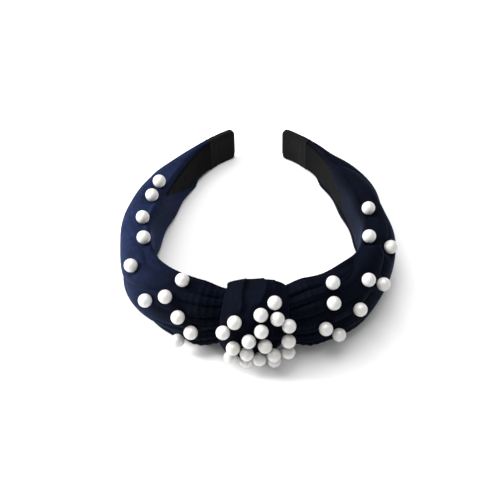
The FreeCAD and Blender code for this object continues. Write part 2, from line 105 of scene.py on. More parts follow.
def path(distance):
    """(x, y, outward x, outward y) arrays on the hoop's mid-line; left of the middle is negative."""
    distance = np.asarray(distance, float)
    far, side = np.abs(distance), np.where(distance < 0, -1.0, 1.0)
    x, y, out_x, out_y = (np.zeros_like(far) for _ in range(4))
    for number, (radius, middle_x, middle_y, bearing, first, last) in enumerate(ARC_ROWS):
        here = (far >= first) if number else np.ones_like(far, bool)
        angle = bearing + (far - first) / radius
        x = np.where(here, middle_x + radius * np.cos(angle), x)
        y = np.where(here, middle_y + radius * np.sin(angle), y)
        out_x, out_y = np.where(here, np.cos(angle), out_x), np.where(here, np.sin(angle), out_y)
    return x * side, y, out_x * side, out_y


def raw_height(y, z):
    """World height, in millimetres, of a point in the hoop's own frame, before the lift."""
    return -y * math.sin(TILT) + z * math.cos(TILT)


flex_y = float(path(FLEX)[1])
LIFT = FLEX_POINTS["right"].z * 1000 - raw_height(flex_y, 0.0)


def place(distance, out, height):
    """Row-frame points in metres, as an array with a last axis of three."""
    x, y, out_x, out_y = path(distance)
    px, py = x + out_x * out, y + out_y * out
    world_y = py * math.cos(TILT) + height * math.sin(TILT)
    world_z = raw_height(py, height) + LIFT
    return np.stack([px, world_y, world_z], axis=-1) / 1000


print("hoop length", round(2 * REACH, 1), "mm")
print("tipped", round(math.degrees(TILT), 2), "degrees, lifted", round(LIFT, 2), "mm")

# %% [markdown]
# ## Small tools for closed skins
# Each cloth piece is a grid of points that closes on itself like a tube.  One helper turns such a
# grid into a mesh with a UV map that follows the cloth, so that weave and pile can follow it too.

# %% Grid to mesh
MM = 0.001


def mesh_object(name, points, faces, uvs=None):
    """Object from points in metres, with the given faces."""
    mesh = bpy.data.meshes.new(name)
    mesh.from_pydata([tuple(point) for point in points], [], faces)
    mesh.update()
    if uvs is not None:
        layer = mesh.uv_layers.new(name="cloth")
        corners = np.array([loop.vertex_index for loop in mesh.loops])
        layer.data.foreach_set("uv", np.asarray(uvs, np.float32)[corners].ravel())
    mesh.shade_smooth()
    thing = bpy.data.objects.new(name, mesh)
    bpy.context.scene.collection.objects.link(thing)
    return thing


def tube_faces(rows, ring):
    """Quads of a tube with a fan-free cap at each end: each end ring is closed by one polygon."""
    faces = []
    for row in range(rows - 1):
        for step in range(ring):
            following = (step + 1) % ring
            low, high = row * ring, (row + 1) * ring
            faces.append((low + step, low + following, high + following, high + step))
    faces.append(tuple(reversed(range(ring))))
    faces.append(tuple(range((rows - 1) * ring, rows * ring)))
    return faces


def torus_faces(rows, ring):
    """Quads of a skin that closes both ways."""
    faces = []
    for row in range(rows):
        after = (row + 1) % rows
        for step in range(ring):
            following = (step + 1) % ring
            faces.append((row * ring + step, row * ring + following,
                          after * ring + following, after * ring + step))
    return faces


def face_outwards(thing):
    """Turns the faces of a closed skin outwards."""
    shape = bmesh.new()
    shape.from_mesh(thing.data)
    bmesh.ops.recalc_face_normals(shape, faces=shape.faces)
    if shape.calc_volume(signed=True) < 0:
        bmesh.ops.reverse_faces(shape, faces=shape.faces)
    shape.to_mesh(thing.data)
    shape.free()


def grid_normals(grid, closed_rows=False):
    """Unit normals of a grid of points that closes round its ring."""
    around = np.roll(grid, -1, axis=1) - np.roll(grid, 1, axis=1)
    if closed_rows:
        along = np.roll(grid, -1, axis=0) - np.roll(grid, 1, axis=0)
    else:
        along = np.gradient(grid, axis=0)
    normal = np.cross(around, along)
    return normal / np.maximum(np.linalg.norm(normal, axis=-1, keepdims=True), 1e-12)


def smooth_step(value, low, high):
    share = np.clip((value - low) / (high - low), 0, 1)
    return share * share * (3 - 2 * share)


def swell(value, centre, width):
    """Soft bump of height 1."""
    return np.exp(-((value - centre) / width) ** 2)


# %% [markdown]
# ## Folds
# Gathered velvet makes rounded ridges with sharp valleys between them.  The absolute value of a
# sine, raised to a power under one, has just that profile.  Its phase is bent by slow waves, so
# that no two folds are alike, and fixed numbers keep the result the same on every run.

# %% Fold profiles
def pleat(phase):
    """Ridge with a sharp valley at every multiple of pi, from -0.6 to 0.4."""
    return np.abs(np.sin(phase)) ** 0.55 - 0.6


def waves(first, second, seed, count=5):
    """Slow uneven surface built from a few waves; the second coordinate closes at a full turn."""
    source = np.random.default_rng(seed)
    total = np.zeros(np.broadcast(first, second).shape)
    for _ in range(count):
        turns = source.integers(0, 4)
        pitch = source.uniform(28, 75)
        shift = source.uniform(0, 2 * math.pi, 2)
        total = total + np.sin(first * 2 * math.pi / pitch + shift[0] + turns * second + shift[1])
    return total / count


# %% [markdown]
# ## The beads' places
# The velvet dimples a little round each bead, so the beads' centres are needed before any velvet
# is made.  The CAD node holds the beads as loose triangles.  Triangles that share a corner belong
# to one bead, and a sphere fitted to the corners gives its centre.

# %% Find the centre of each bead in a CAD node
BEAD_RADIUS = 4.0


def bead_centres(node):
    """Centres, in metres, of the separate balls in one CAD node."""
    mesh = frame["nodes"][node].data
    points = np.array([vertex.co for vertex in mesh.vertices], float).reshape(-1, 3)
    keys, first = {}, np.zeros(len(points), int)
    for index, point in enumerate(np.round(points, 6)):
        first[index] = keys.setdefault(tuple(point), index)
    parent = list(range(len(points)))

    def root(index):
        while parent[index] != index:
            parent[index] = parent[parent[index]]
            index = parent[index]
        return index

    for face in mesh.polygons:
        corners = [first[vertex] for vertex in face.vertices]
        for corner in corners[1:]:
            parent[root(corner)] = root(corners[0])
    groups = {}
    for index in range(len(points)):
        groups.setdefault(root(first[index]), []).append(index)
    centres = []
    for members in groups.values():
        shell = points[members]
        middle = (shell.min(0) + shell.max(0)) / 2
        for _ in range(6):
            far = np.abs(np.linalg.norm(shell - middle, axis=1) - BEAD_RADIUS * MM)
            near = shell[far < 0.9 * MM]
            rows = np.hstack([2 * near, np.ones((len(near), 1))])
            middle = np.linalg.lstsq(rows, (near ** 2).sum(1), rcond=None)[0][:3]
        centres.append(middle)
    return np.array(centres)


BEADS = {name: bead_centres(name + "_pearls") for name in ("left", "right", "knot")}
ALL_BEADS = np.vstack(list(BEADS.values()))
print("beads", {name: len(centres) for name, centres in BEADS.items()})


def near_beads(points):
    """From 0 to 1: how close a point of velvet is to where a bead sits."""
    flat = points.reshape(-1, 3)
    nearest = np.full(len(flat), 1.0)
    for centre in ALL_BEADS:
        nearest = np.minimum(nearest, np.linalg.norm(flat - centre, axis=1))
    return (1 - smooth_step(nearest / MM, 4.3, 8.5)).reshape(points.shape[:-1])


# %% [markdown]
# ## The padded wings
# A wing is velvet drawn over foam.  It is narrow at the tip, full beside the knot, and flat on the
# side that touches the head.  The skin is a superellipse section, rounder in front than behind,
# swept along the hoop.  Where it leaves the knot the cloth is gathered, so sharp pleats run out
# from there and die away; further back only slow, lumpy waves are left.

# %% Size of a wing along the hoop
# Each place is (distance along the hoop, height, depth).
WING_PLACES = (
    (FLEX, 42.5, 18.5),
    (44.0, 42.5, 18.5),
    (92.0, 36.5, 15.5),
    (140.0, 30.5, 14.5),
    (WRAP_START, 23.5, 3.4),
)
VELVET_BACK = -1.75
LINING_FRONT, LINING_BACK = -1.9, -2.4


def wing_size(distance):
    """(height, depth) arrays along the hoop, as the CAD sleeve has them."""
    far = np.abs(distance)
    height, depth = np.full(far.shape, WING_PLACES[0][1]), np.full(far.shape, WING_PLACES[0][2])
    for (first, tall, deep), (last, next_tall, next_deep) in zip(WING_PLACES, WING_PLACES[1:]):
        here, share = far >= first, np.clip((far - first) / (last - first), 0, 1)
        height = np.where(here, tall + (next_tall - tall) * share, height)
        depth = np.where(here, deep + (next_deep - deep) * share * share * (3 - 2 * share), depth)
    return height, depth


def section_point(turn, back, depth, height, front_power=2.4, back_power=5.0):
    """(out, height) on a closed section at an angle from straight out."""
    core = back + (depth - back) * 0.28
    power = np.where(np.cos(turn) >= 0, front_power, back_power)
    reach = np.where(np.cos(turn) >= 0, depth - core, core - back)
    out = core + reach * np.sign(np.cos(turn)) * np.abs(np.cos(turn)) ** (2 / power)
    up = height / 2 * np.sign(np.sin(turn)) * np.abs(np.sin(turn)) ** (2 / power)
    return out, up


def even_turns(count, back, depth, height, front_power):
    """Angles that lie evenly along the outline of a section, so that no part of the cloth is coarse."""
    turn = np.linspace(-math.pi, math.pi, 20001)
    out, up = section_point(turn, back, depth, height, front_power)
    length = np.concatenate([[0], np.cumsum(np.hypot(np.diff(out), np.diff(up)))])
    return np.interp(np.linspace(0, length[-1], count, endpoint=False), length, turn)


# %% [markdown]
# The two wings are not mirrored.  Each has its own folds: strong gathers beside the knot, a few
# long folds behind them, and a rolled edge of velvet that covers part of the ribbon inside.

# %% Sculpt one wing
WING_START = 11.0
RING = 200
WING_ROWS = 320


def wing_folds(side, far, turn):
    """Height of the folds, in millimetres, over one wing."""
    front = smooth_step(np.cos(turn), -0.45, 0.15)
    bend = 0.5 * waves(far, turn, 11 + side, 4)
    top = smooth_step(np.sin(turn), -0.5, 0.3)
    if side == LEFT:
        gathers = 2.6 * (1 - smooth_step(far, 24, 58))
        gathers = gathers * pleat(7.5 * turn + 0.05 * (far - FLEX) + 2.6 * bend + 0.4)
        threads = 0.7 * (1 - smooth_step(far, 22, 46))
        threads = threads * pleat(19.0 * turn + 0.10 * (far - FLEX) + 5.0 * bend)
        long_folds = 2.3 * swell(far, 58, 28) * pleat(2.6 * turn + 0.055 * (far - 40) + 2.0 * bend + 1.1)
        rear = 1.1 * swell(far, 112, 34) * top * pleat(1.7 * turn + 0.030 * (far - 90) + 1.2 * bend + 0.5)
    else:
        gathers = 2.6 * (1 - smooth_step(far, 24, 66))
        gathers = gathers * pleat(6.5 * turn - 0.07 * (far - FLEX) + 2.6 * bend + 1.3)
        threads = 0.8 * (1 - smooth_step(far, 22, 52))
        threads = threads * pleat(17.0 * turn - 0.12 * (far - FLEX) + 5.0 * bend)
        long_folds = 2.1 * swell(far, 66, 32) * pleat(2.3 * turn - 0.045 * (far - 40) + 2.0 * bend + 0.2)
        rear = 1.6 * swell(far, 140, 40) * pleat(2.0 * turn - 0.060 * (far - 90) + 1.6 * bend + 0.9)
    lumps = 1.3 * waves(far, turn, 31 + side, 6) * smooth_step(far, 30, 60)
    lumps = lumps * (1 - smooth_step(far, 165, 186))
    fine = 0.22 * np.sin(far * 1.9 + 5 * bend) * (1 - smooth_step(far, 26, 40))
    rear = rear * (1 - smooth_step(far, 170, 186))
    lumps = lumps * smooth_step(np.cos(turn), -0.6, 0.1)
    return front * (gathers + threads + long_folds + rear + fine) + lumps


def inner_roll(side, far, up, height):
    """How far the velvet's edge is folded over the ribbon on the inner side, in millimetres."""
    level = up / (height / 2)
    ahead = WRAP_START - far
    if side == LEFT:
        edge = -1.02 + 2.15 * smooth_step(ahead, 4, 78) - 1.4 * smooth_step(ahead, 112, 140)
        cover = smooth_step(edge - level, 0.0, 0.16)
    else:
        edge = 0.98 - 1.60 * smooth_step(ahead, 2, 82) + 1.2 * smooth_step(ahead, 112, 140)
        low_edge = -0.98 + 0.42 * smooth_step(ahead, 4, 34)
        above, below = smooth_step(level - edge, 0.0, 0.16), smooth_step(low_edge - level, 0.0, 0.16)
        cover = np.maximum(above, below)
    return cover * (1.5 + 0.5 * np.sin(far * 0.21 + 3 * level)) * smooth_step(ahead, 1.0, 14.0)


def make_wing(side):
    far = np.linspace(WING_START, WRAP_START + 1.2, WING_ROWS)[:, None]
    turn = even_turns(RING, VELVET_BACK, 15.5, 36.5, 2.4)[None, :]
    height, depth = wing_size(far)
    pinch = 1 - smooth_step(far, 16, 29)
    height, depth = height * (1 - 0.16 * pinch), depth * (1 - 0.20 * pinch)
    taper = smooth_step(far, WRAP_START - 16, WRAP_START)
    power = 2.4 + 1.4 * taper
    out, up = section_point(turn, VELVET_BACK, depth, height, power)
    distance = side * far * np.ones_like(turn)
    grid = place(distance, out, up)
    normal = grid_normals(grid) * (1 if side == RIGHT else -1)
    middle = place(distance, np.full_like(out, 2.0), np.zeros_like(up))
    if ((grid - middle) * normal).sum() < 0:
        normal = -normal
    folds = wing_folds(side, far, turn) * smooth_step(far, 13, 19)
    seated = near_beads(grid)
    folds = folds * (1 - seated) - 0.25 * seated
    floor = smooth_step(grid[..., 2] / MM, 0.2, 4.0)
    folds = np.where(folds < 0, folds, folds * floor)
    inside = smooth_step(-np.cos(turn), 0.05, 0.35)
    fullness = (3.2 if side == LEFT else 2.4) * swell(far, 122, 36) * smooth_step(np.cos(turn), -0.1, 0.7)
    folds = folds + inner_roll(side, far, up, height) * inside + fullness * (1 - seated)
    grid = grid + normal * folds[..., None] * MM
    grid[..., 2] = np.maximum(grid[..., 2], 0.0001)
    rows, ring = grid.shape[:2]
    perimeter = 2 * (height + depth)
    uvs = np.stack([np.broadcast_to(far, (rows, ring)), (turn / (2 * math.pi)) * perimeter], axis=-1) * MM
    faces = tube_faces(rows, ring)
    wing = mesh_object(SIDES[side] + "_wing", grid.reshape(-1, 3), faces, uvs.reshape(-1, 2))
    face_outwards(wing)
    return wing


wings = {side: make_wing(side) for side in (LEFT, RIGHT)}
print("wing faces", {wing.name: len(wing.data.polygons) for wing in wings.values()})

# %% [markdown]
# ## The knot
# The knot is a wide strap of doubled velvet wrapped once round the middle of the band and sewn
# shut behind.  Its section is a flattened oval; sweeping that oval round the band gives a skin
# that closes both ways.  The strap leans a little, and long folds run round it, deepest where it
# turns over the top edge.

# %% Sculpt the knot
KNOT_WIDTH = 33.0
KNOT_HEIGHT, KNOT_DEPTH, KNOT_BACK = 48.4, 23.5, -5.1
HOLE_HEIGHT, HOLE_DEPTH, HOLE_BACK = 33.0, 12.8, -2.7
STRAP_RING = 150
STRAP_ROWS = 220


def even_spin(count):
    """Angles that lie evenly round the strap's own flat section."""
    spin = np.linspace(-math.pi, math.pi, 20001)
    wide = 16.5 * np.sign(np.cos(spin)) * np.abs(np.cos(spin)) ** 0.62
    tall = 3.0 * np.sign(np.sin(spin)) * np.abs(np.sin(spin)) ** 0.62
    length = np.concatenate([[0], np.cumsum(np.hypot(np.diff(wide), np.diff(tall)))])
    return np.interp(np.linspace(0, length[-1], count, endpoint=False), length, spin)


def crease(across, line, depth, reach):
    """A fold that ends in a sharp edge: the cloth rises slowly up to a line and drops behind it."""
    beyond = across - line
    rise = np.exp(np.minimum(beyond, 0) / reach)
    return depth * np.where(beyond < 0, rise, np.exp(-beyond / 0.045)) - 0.35 * depth


def strap_folds(across, turn):
    """Height of the folds of the strap; across runs from -1 at its left edge to 1."""
    lean = 0.20 * np.sin(turn - 0.5)
    wander = 0.05 * np.sin(3 * turn) + 0.03 * np.sin(7 * turn + 1)
    front = smooth_step(np.cos(turn), -0.75, -0.1)
    folds = crease(across, -0.52 + lean + wander, 1.8, 0.30)
    folds = folds + crease(across, 0.00 + 1.4 * lean - wander, 2.3, 0.34)
    folds = folds + crease(across, 0.52 + 0.8 * lean + wander, 1.9, 0.30)
    fine = 0.30 * pleat(11.0 * (across - lean + 1.5 * wander)) * (0.5 + 0.5 * np.sin(2 * turn + 1))
    return front * (folds + fine)


def make_knot():
    turn = even_turns(STRAP_ROWS, KNOT_BACK, KNOT_DEPTH, KNOT_HEIGHT, 2.3)[:, None]
    spin = even_spin(STRAP_RING)[None, :]
    across = np.sign(np.cos(spin)) * np.abs(np.cos(spin)) ** 0.62
    thick = (np.sign(np.sin(spin)) * np.abs(np.sin(spin)) ** 0.62 + 1) / 2
    draw_in = 2.0 * across ** 2
    outer_depth, outer_height = KNOT_DEPTH - draw_in, KNOT_HEIGHT - 2 * draw_in
    outer_out, outer_up = section_point(turn, KNOT_BACK, outer_depth, outer_height, 2.3)
    inner_out, inner_up = section_point(turn, HOLE_BACK, HOLE_DEPTH, HOLE_HEIGHT, 2.4)
    out = inner_out + (outer_out - inner_out) * thick
    up = inner_up + (outer_up - inner_up) * thick
    half = KNOT_WIDTH / 2 * (0.93 + 0.07 * np.sin(turn))
    lean = -1.3 + 2.2 * np.sin(turn)
    distance = across * half + lean * smooth_step(np.cos(turn), -0.7, 0.0)
    grid = place(distance, out, up)
    normal = grid_normals(grid, closed_rows=True)
    middle = place(distance, (inner_out + outer_out) / 2, (inner_up + outer_up) / 2)
    if ((grid - middle) * normal).sum() < 0:
        normal = -normal
    folds = strap_folds(across, turn) * smooth_step(thick, 0.45, 0.95)
    pillow = 0.9 * np.cos(across * math.pi / 2) * np.sin(thick * math.pi / 2)
    seated = near_beads(grid)
    folds = (folds + pillow) * (1 - seated) - 0.2 * seated
    grid = grid + normal * folds[..., None] * MM
    grid[..., 2] = np.maximum(grid[..., 2], 0.0)
    rows, ring = grid.shape[:2]
    uvs = np.stack([turn / (2 * math.pi) * 130 + 0 * spin, across * half + 0 * turn], axis=-1) * MM
    knot = mesh_object("knot_strap", grid.reshape(-1, 3), torus_faces(rows, ring), uvs.reshape(-1, 2))
    face_outwards(knot)
    return knot


knot = make_knot()
print("knot faces", len(knot.data.polygons))

# %% [markdown]
# ## Ribbon lining and tip wraps
# A woven ribbon is glued along the inner side, from under the knot to each tip.  It is a thin strip
# with soft edges.  Each tip is wrapped in plain cloth, with one overlapping edge that shows as a
# small step across the band.

# %% Lay the ribbon
RIBBON_WIDTH = 21.0
RIBBON_START = 3.0


def strip_section(width, back, front, edge):
    """Rounded rectangle as lists of (out, height), starting on the inner side."""
    half = width / 2
    heights = np.linspace(-half, half, 25)
    fall = edge * np.clip((np.abs(heights) - (half - 1.2)) / 1.2, 0, 1) ** 2
    inner = [(back + drop, up) for up, drop in zip(heights, fall)]
    outer = [(front, up) for up in heights[::-1]]
    return np.array(inner + outer)


def make_ribbon(side):
    far = np.linspace(RIBBON_START, WRAP_START + 0.6, 220)
    shape = strip_section(RIBBON_WIDTH, LINING_BACK, LINING_FRONT, 0.25)
    ripple = 0.05 * np.sin(far * 0.31 + side)[:, None] * np.cos(shape[:, 1] * 0.3)[None, :]
    out = shape[None, :, 0] + ripple
    up = np.broadcast_to(shape[None, :, 1], out.shape)
    grid = place(side * far[:, None] * np.ones_like(out), out, up)
    uvs = np.stack([np.broadcast_to(far[:, None], out.shape), up], axis=-1) * MM
    faces = tube_faces(*out.shape)
    ribbon = mesh_object(SIDES[side] + "_ribbon", grid.reshape(-1, 3), faces, uvs.reshape(-1, 2))
    face_outwards(ribbon)
    return ribbon


ribbons = {side: make_ribbon(side) for side in (LEFT, RIGHT)}
print("ribbon faces", [len(ribbon.data.polygons) for ribbon in ribbons.values()])

# %% [markdown]
# The wrap is a snug tube with rounded corners.  Two small steps across it show where the cloth
# laps over itself.

# %% Wrap the tips
WRAP_WALL = 1.0
STRIP_WIDTH = 21.0
SLACK = 0.05
TIP_CORNER = 4.0


def make_tip(side):
    end = REACH + SLACK + WRAP_WALL
    rounded = end - TIP_CORNER * (1 - np.sin(np.linspace(0.05, 1, 18) * math.pi / 2))
    far = np.concatenate([np.linspace(WRAP_START, end - TIP_CORNER, 40), rounded])
    turn = np.linspace(-math.pi, math.pi, 72, endpoint=False)
    thick = HALF_STRIP + SLACK + WRAP_WALL
    tall = STRIP_WIDTH / 2 + SLACK + WRAP_WALL
    tuck = np.clip((far - (end - TIP_CORNER)) / TIP_CORNER, 0, 1)
    tall_here = tall - TIP_CORNER * (1 - np.sqrt(np.clip(1 - tuck ** 2, 0, 1)))
    thick_here = thick * (1 - 0.75 * smooth_step(far, end - 1.6, end))
    fold = 0.28 * (1 - smooth_step(far, WRAP_START + 0.6, WRAP_START + 1.2))
    fold = fold + 0.22 * (1 - smooth_step(far, WRAP_START + 5.6, WRAP_START + 6.0))
    out = (thick_here + fold)[:, None] * np.sign(np.cos(turn)) * np.abs(np.cos(turn)) ** 0.22
    up = (tall_here + 0.6 * fold)[:, None] * np.sign(np.sin(turn)) * np.abs(np.sin(turn)) ** 0.30
    grid = place(side * far[:, None] * np.ones_like(out), out, up)
    grid[..., 2] = np.maximum(grid[..., 2], 0.0)
    uvs = np.stack([np.broadcast_to(far[:, None], out.shape), turn * 8 + 0 * out], axis=-1) * MM
    faces = tube_faces(*out.shape)
    tip = mesh_object(SIDES[side] + "_tip_cloth", grid.reshape(-1, 3), faces, uvs.reshape(-1, 2))
    face_outwards(tip)
    return tip


tips = {side: make_tip(side) for side in (LEFT, RIGHT)}
print("tip faces", [len(tip.data.polygons) for tip in tips.values()])

# %% [markdown]
# ## Beads by Geometry Nodes
# Thirty-nine equal beads repeat one shape, so a small node tree makes them: a point for each bead's
# centre, a ball instanced on every point, the instances made real, and the pearl finish set.

# %% Node tree for beads
def socket_id(tree, name):
    return [item.identifier for item in tree.interface.items_tree if item.name == name][0]


def open_tree(name, inputs):
    """Empty node tree with the named inputs, and its start and end nodes."""
    tree = bpy.data.node_groups.new(name, "GeometryNodeTree")
    for label, kind in (("Geometry", "NodeSocketGeometry"), *inputs):
        tree.interface.new_socket(label, in_out="INPUT", socket_type=kind)
    tree.interface.new_socket("Geometry", in_out="OUTPUT", socket_type="NodeSocketGeometry")
    return tree, tree.nodes.new("NodeGroupInput"), tree.nodes.new("NodeGroupOutput")


def join(tree, *routes):
    """Links sockets; each route is (node, its output, next node, its input)."""
    for giver, output, taker, entry in routes:
        tree.links.new(giver.outputs[output], taker.inputs[entry])


def bead_tree(finish):
    inputs = (("Bead radius", "NodeSocketFloat"), ("Segments", "NodeSocketInt"))
    tree, start, end = open_tree("beads_on_points", inputs)
    ball = tree.nodes.new("GeometryNodeMeshUVSphere")
    ball.inputs["Rings"].default_value = 20
    smooth = tree.nodes.new("GeometryNodeSetShadeSmooth")
    dots = tree.nodes.new("GeometryNodeMeshToPoints")
    spread = tree.nodes.new("GeometryNodeInstanceOnPoints")
    turn = tree.nodes.new("FunctionNodeRandomValue")
    turn.data_type = "FLOAT_VECTOR"
    turn.inputs["Max"].default_value = (2 * math.pi,) * 3
    turn.inputs["Seed"].default_value = 7
    real = tree.nodes.new("GeometryNodeRealizeInstances")
    paint = tree.nodes.new("GeometryNodeSetMaterial")
    paint.inputs["Material"].default_value = finish
    join(tree,
         (start, "Geometry", dots, "Mesh"),
         (start, "Bead radius", ball, "Radius"),
         (start, "Segments", ball, "Segments"),
         (ball, "Mesh", smooth, "Geometry"),
         (dots, "Points", spread, "Points"),
         (smooth, "Geometry", spread, "Instance"),
         (turn, "Value", spread, "Rotation"),
         (spread, "Instances", real, "Geometry"),
         (real, "Geometry", paint, "Geometry"),
         (paint, "Geometry", end, "Geometry"))
    return tree


def grow(name, points, tree, values):
    """Runs a node tree over some points and returns the result as a plain mesh object."""
    seed = mesh_object(name + "_points", points, [])
    modifier = seed.modifiers.new("grow", "NODES")
    modifier.node_group = tree
    for key, value in values.items():
        modifier[socket_id(tree, key)] = value
    graph = bpy.context.evaluated_depsgraph_get()
    mesh = bpy.data.meshes.new_from_object(seed.evaluated_get(graph))
    mesh.name = name
    bpy.data.objects.remove(seed)
    thing = bpy.data.objects.new(name, mesh)
    bpy.context.scene.collection.objects.link(thing)
    return thing


# %% [markdown]
# ## Finishes
# Every finish is a small graph of nodes.  Writing the maths as Python expressions keeps it
# readable: a wrapped socket adds, subtracts and multiplies by adding Math nodes behind the scenes.

# %% A finish as Python expressions
class Wire:
    """A socket that Python's operators work on."""

    def __init__(self, sheet, socket):
        self.sheet, self.socket = sheet, socket

    def maths(self, kind, other=0.0, swap=False):
        pair = (other, self) if swap else (self, other)
        return self.sheet.node("ShaderNodeMath", {"operation": kind}, {0: pair[0], 1: pair[1]})[0]

    def __add__(self, other):
        return self.maths("ADD", other)

    def __mul__(self, other):
        return self.maths("MULTIPLY", other)

    def __sub__(self, other):
        return self.maths("SUBTRACT", other)

    def __rsub__(self, other):
        return self.maths("SUBTRACT", other, swap=True)

    __radd__ = __add__
    __rmul__ = __mul__


class Finish:
    """One material, with helpers to add its nodes."""

    def __init__(self, name):
        self.material = bpy.data.materials.new(name)
        self.material.use_nodes = True
        self.tree = self.material.node_tree
        self.shader = self.tree.nodes["Principled BSDF"]

    def node(self, kind, settings, values):
        """Adds a node; returns its outputs as wires."""
        made = self.tree.nodes.new(kind)
        for key, value in settings.items():
            if key == "stops":
                ramp = made.color_ramp
                while len(ramp.elements) < len(value):
                    ramp.elements.new(0.5)
                for element, (position, colour) in zip(ramp.elements, value):
                    element.position, element.color = position, (*colour, 1)
            else:
                setattr(made, key, value)
        for key, value in values.items():
            self.feed(made.inputs[key], value)
        return [Wire(self, output) for output in made.outputs]

    def feed(self, socket, value):
        if isinstance(value, Wire):
            self.tree.links.new(value.socket, socket)
        elif isinstance(value, tuple) and len(value) == 3 and socket.type == "RGBA":
            socket.default_value = (*value, 1)
        else:
            socket.default_value = value

    def set(self, **values):
        for key, value in values.items():
            self.feed(self.shader.inputs[key.replace("_", " ")], value)

    def object_place(self):
        return self.node("ShaderNodeTexCoord", {}, {})[3]

    def cloth_place(self):
        return self.node("ShaderNodeUVMap", {"uv_map": "cloth"}, {})[0]

    def noise(self, place, scale, detail=2.0, roughness=0.5):
        values = {"Vector": place, "Scale": scale, "Detail": detail, "Roughness": roughness}
        return self.node("ShaderNodeTexNoise", {}, values)[0]

    def mix(self, share, first, second):
        return self.node("ShaderNodeMix", {"data_type": "RGBA"}, {0: share, 6: first, 7: second})[2]

    def ramp(self, value, stops):
        return self.node("ShaderNodeValToRGB", {"stops": stops}, {0: value})[0]

    def bump(self, height, strength, distance):
        values = {"Height": height, "Strength": strength, "Distance": distance}
        self.set(Normal=self.node("ShaderNodeBump", {}, values)[0])


# %% [markdown]
# ## Velvet
# Velvet is cut pile.  It is nearly black where one looks straight down into the pile, and it
# lights up along the edges where light catches the sides of the fibres.  The sheen of the shader
# does that.  On top of it the pile is pressed this way and that, so the blue comes and goes in
# soft patches, and a very fine bump breaks up the surface.  The base colour also holds painted
# light and shade: it is paler towards the left of the band, on the side of the key lamp, and
# nearly black towards the right.

# %% Velvet finish
def velvet_finish():
    finish = Finish("navy_velvet")
    place = finish.object_place()
    patches = finish.noise(place, 62.0, 3.0, 0.55)
    brushed = finish.noise(place, 260.0, 2.0, 0.6)
    pile = finish.noise(place, 2600.0, 2.0, 0.7)
    along_x, along_y, _ = finish.node("ShaderNodeSeparateXYZ", {}, {0: place})
    # Painted light and shade: this mix makes the base colour paler towards the left of the band, on the
    # side of the key lamp, and nearly black towards the right.
    around = along_x - along_y * 0.35 + patches * 0.03
    painted_light_share = finish.node("ShaderNodeMapRange", {"interpolation_type": "SMOOTHSTEP"},
                      {"Value": around, "From Min": 0.006, "From Max": -0.060})[0]
    pressed = patches * 0.6 + brushed * 0.4
    # The dark tones are painted shade and the pale tones are painted light. The patches within each are
    # the velvet's own uneven tone.
    dark = finish.ramp(pressed, [(0.34, (0.0005, 0.0008, 0.0022)), (0.70, (0.0015, 0.0024, 0.0066))])
    light = finish.ramp(pressed, [(0.34, (0.0042, 0.0068, 0.0200)), (0.70, (0.0110, 0.0178, 0.0520))])
    painted_side_light = finish.mix(painted_light_share, dark, light)
    colour = finish.mix(pile * 0.12, painted_side_light, (0.006, 0.010, 0.026))
    finish.set(Base_Color=colour, Roughness=0.72 + patches * 0.2)
    finish.set(Sheen_Weight=0.15, Sheen_Roughness=0.24, Sheen_Tint=(0.20, 0.33, 0.80))
    finish.set(Specular_IOR_Level=0.03)
    finish.bump(pile * 0.7 + brushed * 0.5, 0.55, 0.00035)
    return finish.material


velvet = velvet_finish()
print("velvet nodes", len(velvet.node_tree.nodes))

# %% [markdown]
# ## Ribbon, tip cloth, pearl, thread and the hidden pieces
# The ribbon has fine ribs across its length, the tips a plain weave.  A pearl is white with a thin
# clear coat and a hint of warm and cool colour.  Plastic, foam and steel are hidden at rest, but
# they still get an honest finish of their own.

# %% Woven and hard finishes
def ribbon_finish():
    finish = Finish("ribbed_ribbon")
    place = finish.cloth_place()
    ribs = finish.node("ShaderNodeTexWave", {"wave_type": "BANDS", "bands_direction": "X"},
                       {"Vector": place, "Scale": 330.0, "Distortion": 0.35, "Detail": 1.0})[1]
    soil = finish.noise(finish.object_place(), 90.0, 3.0)
    tones = [(0.25, (0.0009, 0.0009, 0.0010)), (0.75, (0.0024, 0.0024, 0.0026))]
    colour = finish.ramp(soil * 0.6 + ribs * 0.4, tones)
    finish.set(Base_Color=colour, Roughness=0.78 + soil * 0.2)
    finish.set(Sheen_Weight=0.01, Sheen_Roughness=0.5, Specular_IOR_Level=0.05)
    finish.bump(ribs, 0.35, 0.0002)
    return finish.material


def tip_finish():
    finish = Finish("tip_cloth")
    place = finish.cloth_place()
    yarn = {"Vector": place, "Scale": 420.0, "Distortion": 0.3}
    warp = finish.node("ShaderNodeTexWave", {"bands_direction": "X"}, yarn)[1]
    weft = finish.node("ShaderNodeTexWave", {"bands_direction": "Y"}, yarn)[1]
    soil = finish.noise(finish.object_place(), 120.0, 3.0)
    colour = finish.ramp(soil, [(0.3, (0.0016, 0.0016, 0.0017)), (0.7, (0.0042, 0.0042, 0.0044))])
    finish.set(Base_Color=colour, Roughness=0.7 + soil * 0.2)
    finish.set(Sheen_Weight=0.015, Sheen_Roughness=0.5, Specular_IOR_Level=0.08)
    finish.bump(warp * weft, 0.3, 0.00015)
    return finish.material


def pearl_finish():
    finish = Finish("pearl_bead")
    place = finish.object_place()
    cloud = finish.noise(place, 130.0, 2.0)
    warm, white, cool = (0.49, 0.475, 0.45), (0.56, 0.55, 0.53), (0.54, 0.55, 0.57)
    colour = finish.ramp(cloud, [(0.3, warm), (0.5, white), (0.72, cool)])
    finish.set(Base_Color=colour, Roughness=0.24 + cloud * 0.12)
    finish.set(Coat_Weight=0.6, Coat_Roughness=0.08, Specular_IOR_Level=0.6)
    finish.set(Subsurface_Weight=0.08, Subsurface_Radius=(0.003, 0.0025, 0.002), Subsurface_Scale=0.6)
    finish.bump(finish.noise(place, 900.0, 1.0), 0.05, 0.0001)
    return finish.material


